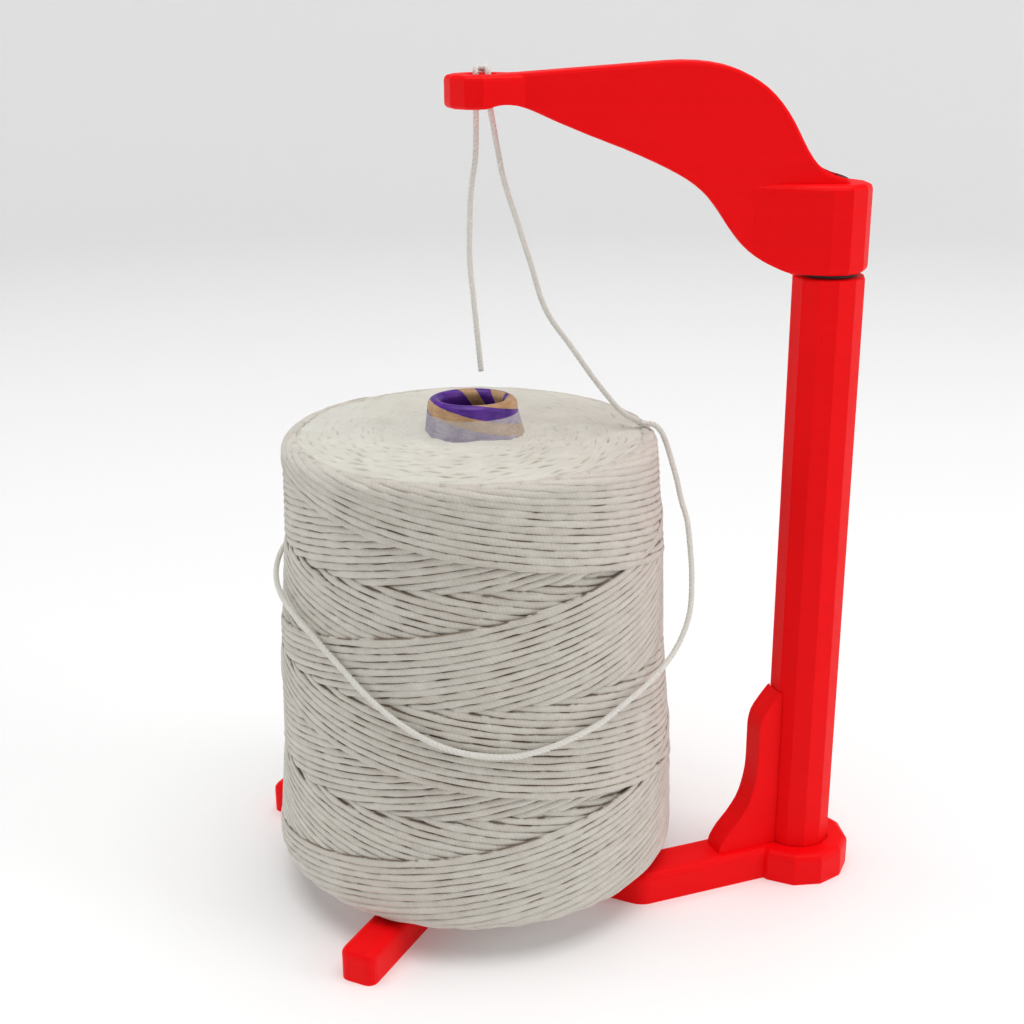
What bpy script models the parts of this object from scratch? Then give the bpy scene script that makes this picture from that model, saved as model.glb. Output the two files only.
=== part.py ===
"""Cone yarn holder: a printed cross carries the cone, and a head with an eye swivels on a column.

Metres, +Z up. The origin lies on the ground under the axis of the yarn cone. The column stands at +X.
"""
import math

import bmesh
import bpy
from mathutils import Matrix, Vector
from mathutils.geometry import convex_hull_2d

# Base: a cross under the cone, whose fourth arm turns at an elbow into the link bar to the hub
base_height = 0.012
foot_width = 0.0132
foot_reach = 0.0902
foot_round = 0.0032
cross_turn_deg = 66.3
elbow_reach = 0.0652
column_reach = 0.121
link_width = 0.0164
hub_radius = 0.0197
base_round = 0.0028
round_steps = 4

# Column: a twelve-sided post that plugs into the hub and ends in a round journal
side_count = 12
column_radius = 0.0123
column_top = 0.2246
socket_depth = 0.008
journal_radius = 0.0065
journal_height = 0.016
column_top_round = 0.0006

# Rib between the link bar and the column
rib_width = 0.0092
rib_reach = 0.0349
rib_height = 0.0615
rib_round = 0.001
# How far the rib stands out (share of rib_reach past the column) at each height (share of rib_height)
rib_shares = ((1.0, 0.0), (0.97, 0.05), (0.84, 0.125), (0.68, 0.19), (0.51, 0.28), (0.42, 0.37), (0.365, 0.47),
              (0.35, 0.57), (0.35, 0.73), (0.345, 0.79), (0.3, 0.86), (0.2, 0.915), (0.1, 0.96), (0.0, 1.0))

# Head: a collar on the column, a plate that rises and reaches over the cone, and a tip with the eye
collar_radius = 0.0126
collar_height = 0.0294
collar_round = 0.0022
collar_turn_deg = -8.0
arm_reach = 0.116
arm_rise = 0.0681
arm_thickness = 0.0126
arm_round = 0.0011
blend_reach = 0.027
tip_radius = 0.0121
tip_round = 0.0018
tip_turn_deg = 7.0
tip_blend = 0.0031
plate_bite = 0.00015
eye_radius = 0.0046
eye_flare = 0.0008
# Underside of the plate from the collar to the tip: share of arm_reach, share of arm_rise
under_shares = ((0.106, 0.0), (0.135, 0.013), (0.165, 0.034), (0.2, 0.062), (0.235, 0.102),
                (0.268, 0.155), (0.3, 0.225), (0.33, 0.3), (0.362, 0.37), (0.4, 0.428), (0.445, 0.476),
                (0.51, 0.531), (0.6, 0.597), (0.7, 0.662), (0.79, 0.725), (0.85, 0.771), (0.895, 0.797),
                (0.93, 0.8035), (0.955, 0.798), (0.974, 0.788), (1.0, 0.784), (1.075, 0.784))
# Top of the plate from the tip back to the collar, in the same shares
over_shares = ((1.075, 0.931), (1.02, 0.9375), (0.9, 0.945), (0.78, 0.958), (0.66, 0.973), (0.54, 0.99),
               (0.44, 0.9995), (0.36, 0.99), (0.3, 0.966), (0.25, 0.93), (0.203, 0.878), (0.162, 0.808),
               (0.127, 0.724), (0.096, 0.628), (0.069, 0.552), (0.04, 0.501), (0.008, 0.474), (-0.03, 0.454))
# Height of the tip's flat top, in shares of arm_rise
tip_top_share = 0.9415

# Pivot: a screw through the collar into an insert in the column, with a slip washer in the seam
seat_gap = 0.0003
running_gap = 0.0002
slip_thickness = 0.0008
slip_radius = 0.0092
pivot_shank_radius = 0.0025
pivot_shank_length = 0.031
pivot_head_radius = 0.0047
pivot_head_height = 0.0027
pan_share = 0.55
pan_steps = 6
socket_radius = 0.0015
drive_depth = 0.0014
pivot_washer_radius = 0.005
pivot_washer_thickness = 0.0008
pocket_depth = 0.0019
pocket_gap = 0.0004
insert_radius = 0.0035
insert_length = 0.0075

# Column screw: a countersunk screw from below
foot_screw_radius = 0.0025
foot_screw_length = 0.02
foot_screw_head_radius = 0.0048
foot_screw_recess = 0.001

# Peg that centres the paper cone
peg_height = 0.046
peg_gap = 0.0009
peg_round = 0.004
tenon_radius = 0.0045
tenon_depth = 0.007

# Paper cone and the yarn wound on it
cone_height = 0.1686
cone_nose_radius = 0.0156
cone_taper_deg = 3.5
cone_wall = 0.0014
lip_radius = 0.0011
lip_steps = 5
package_foot = 0.0008
package_height = 0.1566
package_bottom_radius = 0.075
package_top_radius = 0.0662
shoulder_bottom = 0.012
shoulder_top = 0.004
shoulder_steps = 5
turn_count = 24
turn_points = 24
turn_start_share = 0.25
turn_end_share = 0.75
turn_diameter = 0.003
string_diameter = 0.0018
string_step = 0.011
string_turn = math.radians(15.0)
fine_steps = 16

# Finishes: colour, roughness, metallic
red_print = (0.78, 0.012, 0.016, 1.0)
black_steel = (0.012, 0.012, 0.013, 1.0)
zinc_steel = (0.62, 0.63, 0.64, 1.0)
brass_metal = (0.72, 0.52, 0.22, 1.0)
black_nylon = (0.02, 0.02, 0.02, 1.0)
kraft_paper = (0.36, 0.2, 0.42, 1.0)
raw_cotton = (0.78, 0.71, 0.62, 1.0)

# Places that follow from the sizes above
cutter_overrun = 0.002
merge_distance = 0.00001
flat_angle = math.radians(1.0)
crease_angle = math.radians(35.0)
round_segments = 32
small_segments = 24
cone_segments = 48
washer_top = column_top + seat_gap + slip_thickness
collar_bottom = washer_top + seat_gap
collar_top = collar_bottom + collar_height
pocket_floor = collar_top - pocket_depth
screw_seat = pocket_floor + seat_gap + pivot_washer_thickness + seat_gap
column_foot = base_height - socket_depth + seat_gap
cone_foot = base_height + seat_gap
cone_top = cone_foot + cone_height
package_low = cone_foot + package_foot
package_high = package_low + package_height
taper = math.tan(math.radians(cone_taper_deg))
elbow_turn = math.radians(cross_turn_deg) - math.pi / 2
elbow = Vector((elbow_reach * math.cos(elbow_turn), elbow_reach * math.sin(elbow_turn)))
column_axis = Vector((column_reach, 0.0))
link_turn = math.atan2(column_axis.y - elbow.y, column_axis.x - elbow.x)
link_run = (column_axis - elbow).length


def cone_radius(height):
    """Outer radius of the paper cone at this height."""
    return cone_nose_radius + (cone_top - height) * taper


def package_radius(height, inset=0.0):
    """Radius of the wound yarn at this height, with its rounded shoulders, this far under its surface."""
    share = (height - package_low) / package_height
    radius = package_bottom_radius + (package_top_radius - package_bottom_radius) * share
    for depth, size in ((package_low + shoulder_bottom - height, shoulder_bottom),
                        (height - package_high + shoulder_top, shoulder_top)):
        if depth > 0 and size > inset:
            return radius - size + math.sqrt(max(0.0, (size - inset) ** 2 - depth ** 2))
    return radius - inset


peg_radius = cone_radius(cone_foot) - cone_wall - peg_gap

parts = bpy.data.collections.new("yarn_cone_holder")
guides = bpy.data.collections.new("cutters_and_guides")


def clear_scene():
    for old in list(bpy.data.objects):
        bpy.data.objects.remove(old, do_unlink=True)
    bpy.context.scene.collection.children.link(parts)
    bpy.context.scene.collection.children.link(guides)


def material(name, colour, roughness, metallic):
    """A plain finish for the solids."""
    made = bpy.data.materials.get(name)
    if made is None:
        made = bpy.data.materials.new(name)
        made.use_nodes = True
        shader = made.node_tree.nodes["Principled BSDF"]
        shader.inputs["Base Color"].default_value = colour
        shader.inputs["Roughness"].default_value = roughness
        shader.inputs["Metallic"].default_value = metallic
        made.diffuse_color = colour
    return made


def finish(obj, name, look, smooth=True):
    """Name a piece, give it its finish and put it with the parts."""
    obj.name = name
    obj.data.name = name
    obj.data.materials.clear()
    obj.data.materials.append(look)
    for group in obj.users_collection:
        group.objects.unlink(obj)
    parts.objects.link(obj)
    if smooth and obj.type == "MESH":
        obj.data.shade_smooth()
        obj.data.set_sharp_from_angle(angle=crease_angle)
    return obj


def as_guide(obj):
    obj.hide_render = True
    obj.display_type = "WIRE"
    for group in obj.users_collection:
        group.objects.unlink(obj)
    guides.objects.link(obj)
    return obj


def mesh_object(name, bm):
    mesh = bpy.data.meshes.new(name)
    bm.to_mesh(mesh)
    bm.free()
    obj = bpy.data.objects.new(name, mesh)
    guides.objects.link(obj)
    return obj


def outline_solid(name, points, low, high):
    """An upright solid from a plan outline, between two heights."""
    curve = bpy.data.curves.new(name, "CURVE")
    curve.dimensions = "2D"
    curve.fill_mode = "BOTH"
    curve.extrude = (high - low) / 2
    spline = curve.splines.new("POLY")
    spline.points.add(len(points) - 1)
    for place, point in zip(spline.points, points):
        place.co = (point[0], point[1], 0.0, 1.0)
    spline.use_cyclic_u = True
    flat = bpy.data.objects.new(name, curve)
    guides.objects.link(flat)
    solid = as_solid(flat)
    solid.data.transform(Matrix.Translation((0.0, 0.0, (low + high) / 2)))
    return solid


def as_solid(source):
    """The evaluated shape as a plain mesh, welded, with each flat face in one piece."""
    bpy.context.view_layer.update()
    graph = bpy.context.evaluated_depsgraph_get()
    mesh = bpy.data.meshes.new_from_object(source.evaluated_get(graph))
    name = source.name
    bpy.data.objects.remove(source, do_unlink=True)
    bm = bmesh.new()
    bm.from_mesh(mesh)
    bmesh.ops.remove_doubles(bm, verts=bm.verts, dist=merge_distance)
    bmesh.ops.dissolve_limit(bm, angle_limit=flat_angle, verts=bm.verts, edges=bm.edges)
    bmesh.ops.recalc_face_normals(bm, faces=bm.faces)
    return mesh_object(name, bm)


def turned(name, profile, segments, place=(0.0, 0.0, 0.0)):
    """A solid turned about the upright axis; the profile runs down its outer side."""
    bm = bmesh.new()
    points = [bm.verts.new((radius, 0.0, height)) for radius, height in profile]
    closed = profile[0][0] > 0
    for a, b in zip(points, points[1:] + points[:1] if closed else points[1:]):
        bm.edges.new((a, b))
    line = mesh_object(name, bm)
    screw = line.modifiers.new("turn", "SCREW")
    screw.axis = "Z"
    screw.angle = math.tau
    screw.steps = segments
    screw.render_steps = segments
    screw.use_merge_vertices = True
    screw.merge_threshold = merge_distance
    obj = as_solid(line)
    obj.data.transform(Matrix.Translation(place))
    return obj


def round_edges(obj, radius, steps, chosen):
    """Round the edges that the test picks."""
    bm = bmesh.new()
    bm.from_mesh(obj.data)
    bm.normal_update()
    picked = [edge for edge in bm.edges if len(edge.link_faces) == 2 and chosen(edge)]
    bmesh.ops.bevel(bm, geom=picked, offset=radius, offset_type="OFFSET", segments=steps, profile=0.5,
                    affect="EDGES", clamp_overlap=True)
    bmesh.ops.remove_doubles(bm, verts=bm.verts, dist=merge_distance)
    bm.to_mesh(obj.data)
    bm.free()
    return obj


def upright_edge(edge):
    first, second = edge.verts
    return math.hypot(first.co.x - second.co.x, first.co.y - second.co.y) < merge_distance


def rim(edge, up):
    """Whether the edge lies between an upright face and a level one that faces up or down."""
    first, second = (face.normal.z for face in edge.link_faces)
    flat, upright = (first, second) if abs(first) > abs(second) else (second, first)
    return abs(upright) < 0.5 and flat * up > 0.9


def boolean(obj, other, operation):
    step = obj.modifiers.new(operation.lower(), "BOOLEAN")
    step.operation = operation
    step.solver = "EXACT"
    step.object = as_guide(other)
    return obj


def regular(radius, turn, centre=(0.0, 0.0)):
    """The corners of the regular outline that the column, hub, collar and tip share."""
    angles = [turn + math.tau * index / side_count for index in range(side_count)]
    return [(centre[0] + radius * math.cos(a), centre[1] + radius * math.sin(a)) for a in angles]


def smooth_run(route, steps):
    """A smooth curve through the points of a route or outline, with this many steps between them."""
    places = [Vector(point) for point in route]
    places = [places[0] * 2 - places[1]] + places + [places[-1] * 2 - places[-2]]
    run = []
    for index in range(1, len(places) - 2):
        before, start, end, after = places[index - 1:index + 3]
        for step in range(steps):
            t = step / steps
            run.append(0.5 * (2 * start + (end - before) * t
                              + (2 * before - 5 * start + 4 * end - after) * t ** 2
                              + (3 * start - before - 3 * end + after) * t ** 3))
    run.append(places[-2])
    return run


def run_length(points):
    return sum((b - a).length for a, b in zip(points, points[1:]))


def spread(points, step, turn):
    """Points along a dense run: one at each step, and closer together round a bend."""
    line = [points[0]]
    passed = 0.0
    heading = points[1] - points[0]
    for a, b, c in zip(points, points[1:], points[2:]):
        passed += (b - a).length
        if passed >= step or heading.angle(c - b) >= turn:
            line.append(b)
            passed = 0.0
            heading = c - b
    line.append(points[-1])
    return line


def tube(name, points, diameter, resolution, look):
    """A round solid along a line of points, its ends filled."""
    curve = bpy.data.curves.new(name, "CURVE")
    curve.dimensions = "3D"
    curve.bevel_depth = diameter / 2
    curve.bevel_resolution = resolution
    curve.use_fill_caps = True
    spline = curve.splines.new("POLY")
    spline.points.add(len(points) - 1)
    for place, point in zip(spline.points, points):
        place.co = (*point, 1.0)
    obj = bpy.data.objects.new(name, curve)
    guides.objects.link(obj)
    return finish(obj, name, look)


def left_of(direction):
    return Vector((-direction.y, direction.x))


def meet(point, direction, other, heading):
    """Where two level lines cross."""
    across = direction.x * heading.y - direction.y * heading.x
    gap = other - point
    return point + direction * ((gap.x * heading.y - gap.y * heading.x) / across)


def bar_outline(direction, start, end, width):
    side = left_of(direction) * (width / 2)
    return [direction * start - side, direction * end - side, direction * end + side, direction * start + side]


def bent_bar_outline():
    """The arm that runs through the cross to the elbow, and on as the link bar to the hub."""
    arm = elbow.normalized()
    link = (column_axis - elbow).normalized()
    arm_side = left_of(arm) * (foot_width / 2)
    link_side = left_of(link) * (link_width / 2)
    near = meet(-arm_side, arm, elbow - link_side, link)
    far = meet(arm_side, arm, elbow + link_side, link)
    end = -arm * foot_reach
    return [end - arm_side, near, column_axis - link_side, column_axis + link_side, far, end + arm_side]


def rib_solid():
    """The upright rib on the link bar; the socket cutter clears it from the column."""
    root = base_height - base_round
    reach = rib_reach - column_radius
    edge = [(column_radius + out * reach, base_height + up * rib_height) for out, up in rib_shares]
    inner = column_radius / 2
    back = [(inner, base_height + rib_height), (inner, root)]
    outline = [(rib_reach, root)] + smooth_outline(edge, 2) + back
    solid = outline_solid("rib", outline, -rib_width / 2, rib_width / 2)
    round_edges(solid, rib_round, 2, lambda edge: level_edge(edge) and edge_out(edge) > column_radius)
    stand = Matrix.Rotation(math.pi / 2, 4, "X")
    turn = Matrix.Rotation(link_turn + math.pi, 4, "Z")
    solid.data.transform(Matrix.Translation((column_reach, 0.0, 0.0)) @ turn @ stand)
    return solid


def level_edge(edge):
    """Whether the edge lies between a flat side of an extruded outline and its rim."""
    first, second = (abs(face.normal.z) for face in edge.link_faces)
    return max(first, second) > 0.9 and min(first, second) < 0.5


def edge_out(edge):
    return min(vert.co.x for vert in edge.verts)


def smooth_outline(points, steps):
    """The same smooth curve in an outline's own plane."""
    return [(point.x, point.y) for point in smooth_run([(x, y, 0.0) for x, y in points], steps)]


def build_base(look):
    """Cross, link bar, hub and rib, printed as one piece, with the column's socket and the peg's."""
    flats = link_turn + math.pi / side_count
    across = Matrix.Rotation(math.pi / 2, 2) @ elbow.normalized()
    plan = bar_outline(across, -foot_reach, foot_reach, foot_width)
    base = outline_solid("cross_bar", plan, 0.0, base_height)
    bent = outline_solid("bent_bar", bent_bar_outline(), 0.0, base_height)
    hub = outline_solid("hub", regular(hub_radius, link_turn, column_axis), 0.0, base_height)
    disc = outline_solid("disc", regular(peg_radius, flats), 0.0, base_height)
    for solid in (base, bent):
        round_edges(solid, foot_round, round_steps, upright_edge)
    for solid in (base, bent, hub):
        round_edges(solid, base_round, round_steps, lambda edge: rim(edge, 1))
    for solid in (bent, hub, disc, rib_solid()):
        boolean(base, solid, "UNION")
    socket = regular(column_radius + seat_gap / math.cos(math.pi / side_count), flats, column_axis)
    above = base_height + rib_height + cutter_overrun
    boolean(base, outline_solid("column_socket", socket, base_height - socket_depth, above), "DIFFERENCE")
    boolean(base, foot_screw_cutter(), "DIFFERENCE")
    mouth = base_height + cutter_overrun
    bottom = base_height - tenon_depth
    room = tenon_radius + seat_gap
    pocket = [(0.0, mouth), (room, mouth), (room, bottom), (0.0, bottom)]
    boolean(base, turned("tenon_pocket", pocket, round_segments), "DIFFERENCE")
    return finish(base, "base_frame", look)


def foot_screw_cutter():
    """Countersunk hole through the hub's floor."""
    radius = foot_screw_radius + seat_gap
    head = foot_screw_head_radius + seat_gap
    top = foot_screw_recess + (head - radius)
    profile = [(0.0, base_height), (radius, base_height), (radius, top), (head, foot_screw_recess),
               (head, -cutter_overrun), (0.0, -cutter_overrun)]
    return turned("screw_hole", profile, small_segments, (column_reach, 0.0, 0.0))


def build_column(look):
    """The post: twelve flats, a round journal on top and pockets for the two inserts."""
    place = (column_reach, 0.0, 0.0)
    flats = regular(column_radius, link_turn + math.pi / side_count, column_axis)
    column = outline_solid("post", flats, column_foot, column_top)
    round_edges(column, column_top_round, 2, lambda edge: rim(edge, 1))
    top = column_top + journal_height
    root = column_top - cutter_overrun
    journal = [(0.0, top), (journal_radius, top), (journal_radius, root), (0.0, root)]
    boolean(column, turned("journal", journal, round_segments, place), "UNION")
    wide = insert_radius + seat_gap
    slim = pivot_shank_radius + seat_gap
    mouth = top + cutter_overrun
    ledge = top - insert_length - seat_gap
    deep = screw_seat - pivot_shank_length - cutter_overrun
    hole = [(0.0, mouth), (wide, mouth), (wide, ledge), (slim, ledge), (slim, deep), (0.0, deep)]
    boolean(column, turned("pivot_hole", hole, small_segments, place), "DIFFERENCE")
    slim = foot_screw_radius + seat_gap
    mouth = column_foot - cutter_overrun
    ledge = column_foot + insert_length + seat_gap
    deep = foot_screw_length + cutter_overrun
    hole = [(0.0, deep), (slim, deep), (slim, ledge), (wide, ledge), (wide, mouth), (0.0, mouth)]
    boolean(column, turned("foot_hole", hole, small_segments, place), "DIFFERENCE")
    return finish(column, "column", look)


def build_insert(name, top, bore, look):
    """A brass insert pressed into the print, with a groove round its middle."""
    groove = insert_radius - seat_gap
    third = insert_length / 3
    profile = [(bore, top), (insert_radius, top), (insert_radius, top - third), (groove, top - third),
               (groove, top - third * 2), (insert_radius, top - third * 2), (insert_radius, top - insert_length),
               (bore, top - insert_length)]
    return finish(turned(name, profile, small_segments, (column_reach, 0.0, 0.0)), name, look)


def build_ring(name, low, thickness, inner, outer, look):
    profile = [(inner, low + thickness), (outer, low + thickness), (outer, low), (inner, low)]
    return finish(turned(name, profile, small_segments, (column_reach, 0.0, 0.0)), name, look)


def hex_socket(name, low, high):
    corners = [math.tau * side / 6 for side in range(6)]
    six = [(column_reach + socket_radius * math.cos(a), socket_radius * math.sin(a)) for a in corners]
    return outline_solid(name, six, low, high)


def build_pivot_screw(look):
    """Pan-head screw with a hexagon socket."""
    high = screw_seat + pivot_head_height
    edge = high - pivot_head_height * pan_share
    bend = [math.pi / 2 * step / pan_steps for step in range(pan_steps + 1)]
    crown = [(pivot_head_radius * math.sin(a), edge + (high - edge) * math.cos(a)) for a in bend]
    tip = screw_seat - pivot_shank_length
    profile = crown + [(pivot_head_radius, screw_seat), (pivot_shank_radius, screw_seat)]
    profile = profile + [(pivot_shank_radius, tip), (0.0, tip)]
    screw = turned("pivot_screw", profile, small_segments, (column_reach, 0.0, 0.0))
    boolean(screw, hex_socket("pan_socket", high - drive_depth, high + cutter_overrun), "DIFFERENCE")
    return finish(screw, "pivot_screw", look)


def build_foot_screw(look):
    """Countersunk screw that holds the column in the hub."""
    cone_end = foot_screw_recess + foot_screw_head_radius - foot_screw_radius
    top = foot_screw_length
    profile = [(0.0, top), (foot_screw_radius, top), (foot_screw_radius, cone_end),
               (foot_screw_head_radius, foot_screw_recess), (0.0, foot_screw_recess)]
    screw = turned("column_screw", profile, small_segments, (column_reach, 0.0, 0.0))
    low = foot_screw_recess - cutter_overrun
    boolean(screw, hex_socket("flat_socket", low, foot_screw_recess + drive_depth), "DIFFERENCE")
    return finish(screw, "column_screw", look)


def under_line(lift=0.0):
    """The underside of the plate from the collar to the tip, raised by the lift."""
    points = [(along * arm_reach, collar_bottom + up * arm_rise + lift) for along, up in under_shares]
    return smooth_outline(points, 2)


def over_line():
    """The top of the plate from the tip back to the collar."""
    points = [(along * arm_reach, collar_bottom + up * arm_rise) for along, up in over_shares]
    return smooth_outline(points, 2)


def head_slab(name, outline, thickness, radius=0.0):
    """A solid with a side outline in the head's own plane: x runs from the column to the tip."""
    slab = outline_solid(name, outline, -thickness / 2, thickness / 2)
    if radius:
        round_edges(slab, radius, 2, level_edge)
    slab.data.transform(Matrix.Rotation(math.pi / 2, 4, "X"))
    return slab


def drawn_in(ring, reach):
    """A plan outline that runs from a ring of corners into the sides of the plate."""
    half = arm_thickness / 2 - plate_bite
    corners = ring + [(reach, half), (reach, -half)]
    return [corners[index] for index in convex_hull_2d(corners)]


def plate_solid():
    """The plate that rises from the collar and reaches out to the tip."""
    low = [point for point in under_line() if point[0] > collar_radius]
    inner = (collar_radius / 2, collar_bottom + collar_round)
    root = (-collar_radius / 2, collar_top - collar_round)
    return head_slab("plate", [inner] + low + over_line() + [root], arm_thickness, arm_round)


def collar_solid():
    """The collar, drawn in to the plate on the tip's side and cut by the plate's underside."""
    plan = drawn_in(regular(collar_radius, math.radians(collar_turn_deg)), blend_reach)
    solid = outline_solid("collar", plan, collar_bottom, collar_top)
    round_edges(solid, collar_round, round_steps, lambda edge: rim(edge, 1) or rim(edge, -1))
    back = -collar_radius - cutter_overrun
    roof = collar_top + cutter_overrun
    floor = collar_bottom - cutter_overrun
    far = blend_reach + cutter_overrun
    under = [point for point in under_line(plate_bite) if collar_radius < point[0] < far]
    keep = [(back, floor), (collar_radius, floor)] + under + [(under[-1][0], roof), (back, roof)]
    boolean(solid, head_slab("collar_keep", keep, (collar_radius + cutter_overrun) * 2), "INTERSECT")
    return solid


def tip_solid():
    """The twelve-sided tip round the eye, drawn in to the plate and cut by the plate's underside."""
    inner = arm_reach - tip_radius - tip_blend
    plan = drawn_in(regular(tip_radius, math.radians(tip_turn_deg), (arm_reach, 0.0)), inner)
    low = collar_bottom + under_shares[-1][1] * arm_rise
    high = collar_bottom + tip_top_share * arm_rise
    solid = outline_solid("tip", plan, low, high)
    round_edges(solid, tip_round, 3, lambda edge: rim(edge, 1) or rim(edge, -1))
    far = arm_reach + tip_radius + cutter_overrun
    near = inner - cutter_overrun
    under = [point for point in under_line(plate_bite) if near < point[0] < arm_reach]
    floor = low - cutter_overrun
    roof = high + cutter_overrun
    keep = under + [(arm_reach, floor), (far, floor), (far, roof), (under[0][0], roof)]
    boolean(solid, head_slab("tip_keep", keep, (tip_radius + cutter_overrun) * 2), "INTERSECT")
    return solid


def build_head(pivot, look):
    """Collar, plate and tip in one print, bored for the journal, the screw and the yarn."""
    head = plate_solid()
    boolean(head, collar_solid(), "UNION")
    boolean(head, tip_solid(), "UNION")
    bore = journal_radius + running_gap
    shank = pivot_shank_radius + seat_gap
    web = column_top + journal_height + seat_gap
    through = pocket_floor + cutter_overrun
    profile = [(0.0, through), (shank, through), (shank, web), (bore, web),
               (bore, collar_bottom - cutter_overrun), (0.0, collar_bottom - cutter_overrun)]
    boolean(head, turned("journal_bore", profile, round_segments), "DIFFERENCE")
    wide = pivot_washer_radius + pocket_gap
    roof = collar_bottom + arm_rise
    profile = [(0.0, roof), (wide, roof), (wide, pocket_floor), (0.0, pocket_floor)]
    boolean(head, turned("screw_pocket", profile, round_segments), "DIFFERENCE")
    boolean(head, eye_cutter(), "DIFFERENCE")
    head = finish(as_solid(head), "head_arm", look)
    head.parent = pivot
    return head


def eye_cutter():
    """The eye, with a small flare at both mouths."""
    low = collar_bottom + under_shares[-1][1] * arm_rise
    high = collar_bottom + tip_top_share * arm_rise
    flare = eye_radius + eye_flare
    profile = [(0.0, high + cutter_overrun), (flare + cutter_overrun, high + cutter_overrun), (flare, high),
               (eye_radius, high - eye_flare), (eye_radius, low + eye_flare), (flare, low),
               (flare + cutter_overrun, low - cutter_overrun), (0.0, low - cutter_overrun)]
    return turned("eye", profile, round_segments, (arm_reach, 0.0, 0.0))


def build_peg(look):
    """The tapered peg that centres the paper cone, with a tenon for the pocket in the cross."""
    low = base_height + seat_gap
    top = low + peg_height
    slim = peg_radius - peg_height * taper - peg_round
    bend = [math.pi / 2 * step / round_steps for step in range(round_steps + 1)]
    crown = [(slim + peg_round * math.sin(a), top - peg_round + peg_round * math.cos(a)) for a in bend]
    foot = base_height - tenon_depth + seat_gap
    profile = [(0.0, top)] + crown + [(peg_radius, low), (tenon_radius, low)]
    profile = profile + [(tenon_radius, foot), (0.0, foot)]
    return finish(turned("cone_peg", profile, round_segments), "cone_peg", look)


def build_paper_cone(look):
    """Thin paper cone with a lip rolled inwards at the nose."""
    nose = cone_radius(cone_top)
    lip = [(nose - lip_radius + lip_radius * math.cos(a), cone_top - lip_radius + lip_radius * math.sin(a))
           for a in (math.pi * step / lip_steps for step in range(lip_steps, -1, -1))]
    inner_top = (nose - 2 * lip_radius, cone_top - 2 * lip_radius)
    inner_turn = (nose - cone_wall - lip_radius / 2, cone_top - 3 * lip_radius)
    foot = cone_radius(cone_foot)
    profile = lip + [(foot, cone_foot), (foot - cone_wall, cone_foot), inner_turn, inner_top]
    return finish(turned("paper_cone", profile, cone_segments), "paper_cone", look)


def build_package(look):
    """The wound body under the outer turns, flat at both ends."""
    skin = turn_diameter + seat_gap + package_bottom_radius * (1 - math.cos(math.pi / turn_points))
    steps = [math.sin(math.pi / 2 * step / shoulder_steps) for step in range(shoulder_steps + 1)]
    lower = max(shoulder_bottom - skin, 0)
    heights = [package_low + skin + lower * (1 - share) for share in steps]
    top_radius = package_top_radius - skin
    profile = [(cone_radius(package_high) + seat_gap, package_high), (top_radius, package_high)]
    profile += [(package_radius(height, skin), height) for height in dict.fromkeys(heights)]
    profile += [(profile[-1][0], package_low), (cone_radius(package_low) + seat_gap, package_low)]
    return finish(turned("yarn_package", profile, cone_segments), "yarn_package", look)


def least_gap(points, diameter):
    """Smallest clearance between one turn and the next."""
    best = math.inf
    for index, point in enumerate(points):
        for other in points[index + turn_points // 2:index + turn_points * 3 // 2 + 1]:
            best = min(best, (other - point).length)
    return best - diameter


def build_turns(look):
    """The outer layer of yarn: one unbroken helix from the lower shoulder to the upper one."""
    low = package_low + shoulder_bottom * turn_start_share
    high = package_high - shoulder_top * turn_end_share
    count = turn_count * turn_points
    points = []
    for index in range(count + 1):
        height = low + (high - low) * index / count
        angle = math.tau * index / turn_points
        radius = package_radius(height, turn_diameter / 2)
        points.append(Vector((radius * math.cos(angle), radius * math.sin(angle), height)))
    print("outer turns:", turn_count, "least gap", round(least_gap(points, turn_diameter) * 1000, 2), "mm")
    return tube("yarn_turns", points, turn_diameter, 1, look)


# Route of the loose yarn, chosen by hand: from the tip's underside down to the rim of the package
free_route = ((0.0078, 0.0026, 0.2790), (0.0101, 0.0030, 0.2653), (0.0124, 0.0036, 0.2543),
              (0.0171, 0.0044, 0.2394), (0.0209, 0.0050, 0.2273), (0.0260, 0.0058, 0.2114),
              (0.0351, 0.0066, 0.1979), (0.0444, 0.0066, 0.1848), (0.0527, 0.0060, 0.1752),
              (0.0591, 0.0051, 0.1717))
# From the rim down beside the package, round its front and up its left side to the back
laid_route = ((0.0602, 0.0049, 0.1712), (0.0638, 0.0042, 0.1710), (0.0663, 0.0036, 0.1690),
              (0.0682, 0.0030, 0.1652), (0.0704, 0.0014, 0.1585), (0.0722, -0.0008, 0.1525),
              (0.0739, -0.0030, 0.1454), (0.0759, -0.0055, 0.1390), (0.0769, -0.0080, 0.1316),
              (0.0777, -0.0110, 0.1218), (0.0776, -0.0140, 0.1117), (0.0766, -0.0172, 0.1065),
              (0.0743, -0.0207, 0.1010), (0.0709, -0.0247, 0.0960), (0.0663, -0.0305, 0.0922),
              (0.0604, -0.0391, 0.0899), (0.0523, -0.0497, 0.0878), (0.0445, -0.0569, 0.0847),
              (0.0342, -0.0638, 0.0822), (0.0241, -0.0684, 0.0803), (0.0144, -0.0711, 0.0798),
              (0.0015, -0.0724, 0.0816), (-0.0099, -0.0717, 0.0852), (-0.0214, -0.0687, 0.0911),
              (-0.0309, -0.0645, 0.0976), (-0.0396, -0.0590, 0.1047), (-0.0484, -0.0517, 0.1110),
              (-0.0562, -0.0430, 0.1152), (-0.0636, -0.0306, 0.1180), (-0.0686, -0.0162, 0.1200),
              (-0.0704, -0.0010, 0.1220), (-0.0690, 0.0140, 0.1240), (-0.0641, 0.0288, 0.1265),
              (-0.0563, 0.0417, 0.1295), (-0.0462, 0.0525, 0.1325))
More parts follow.
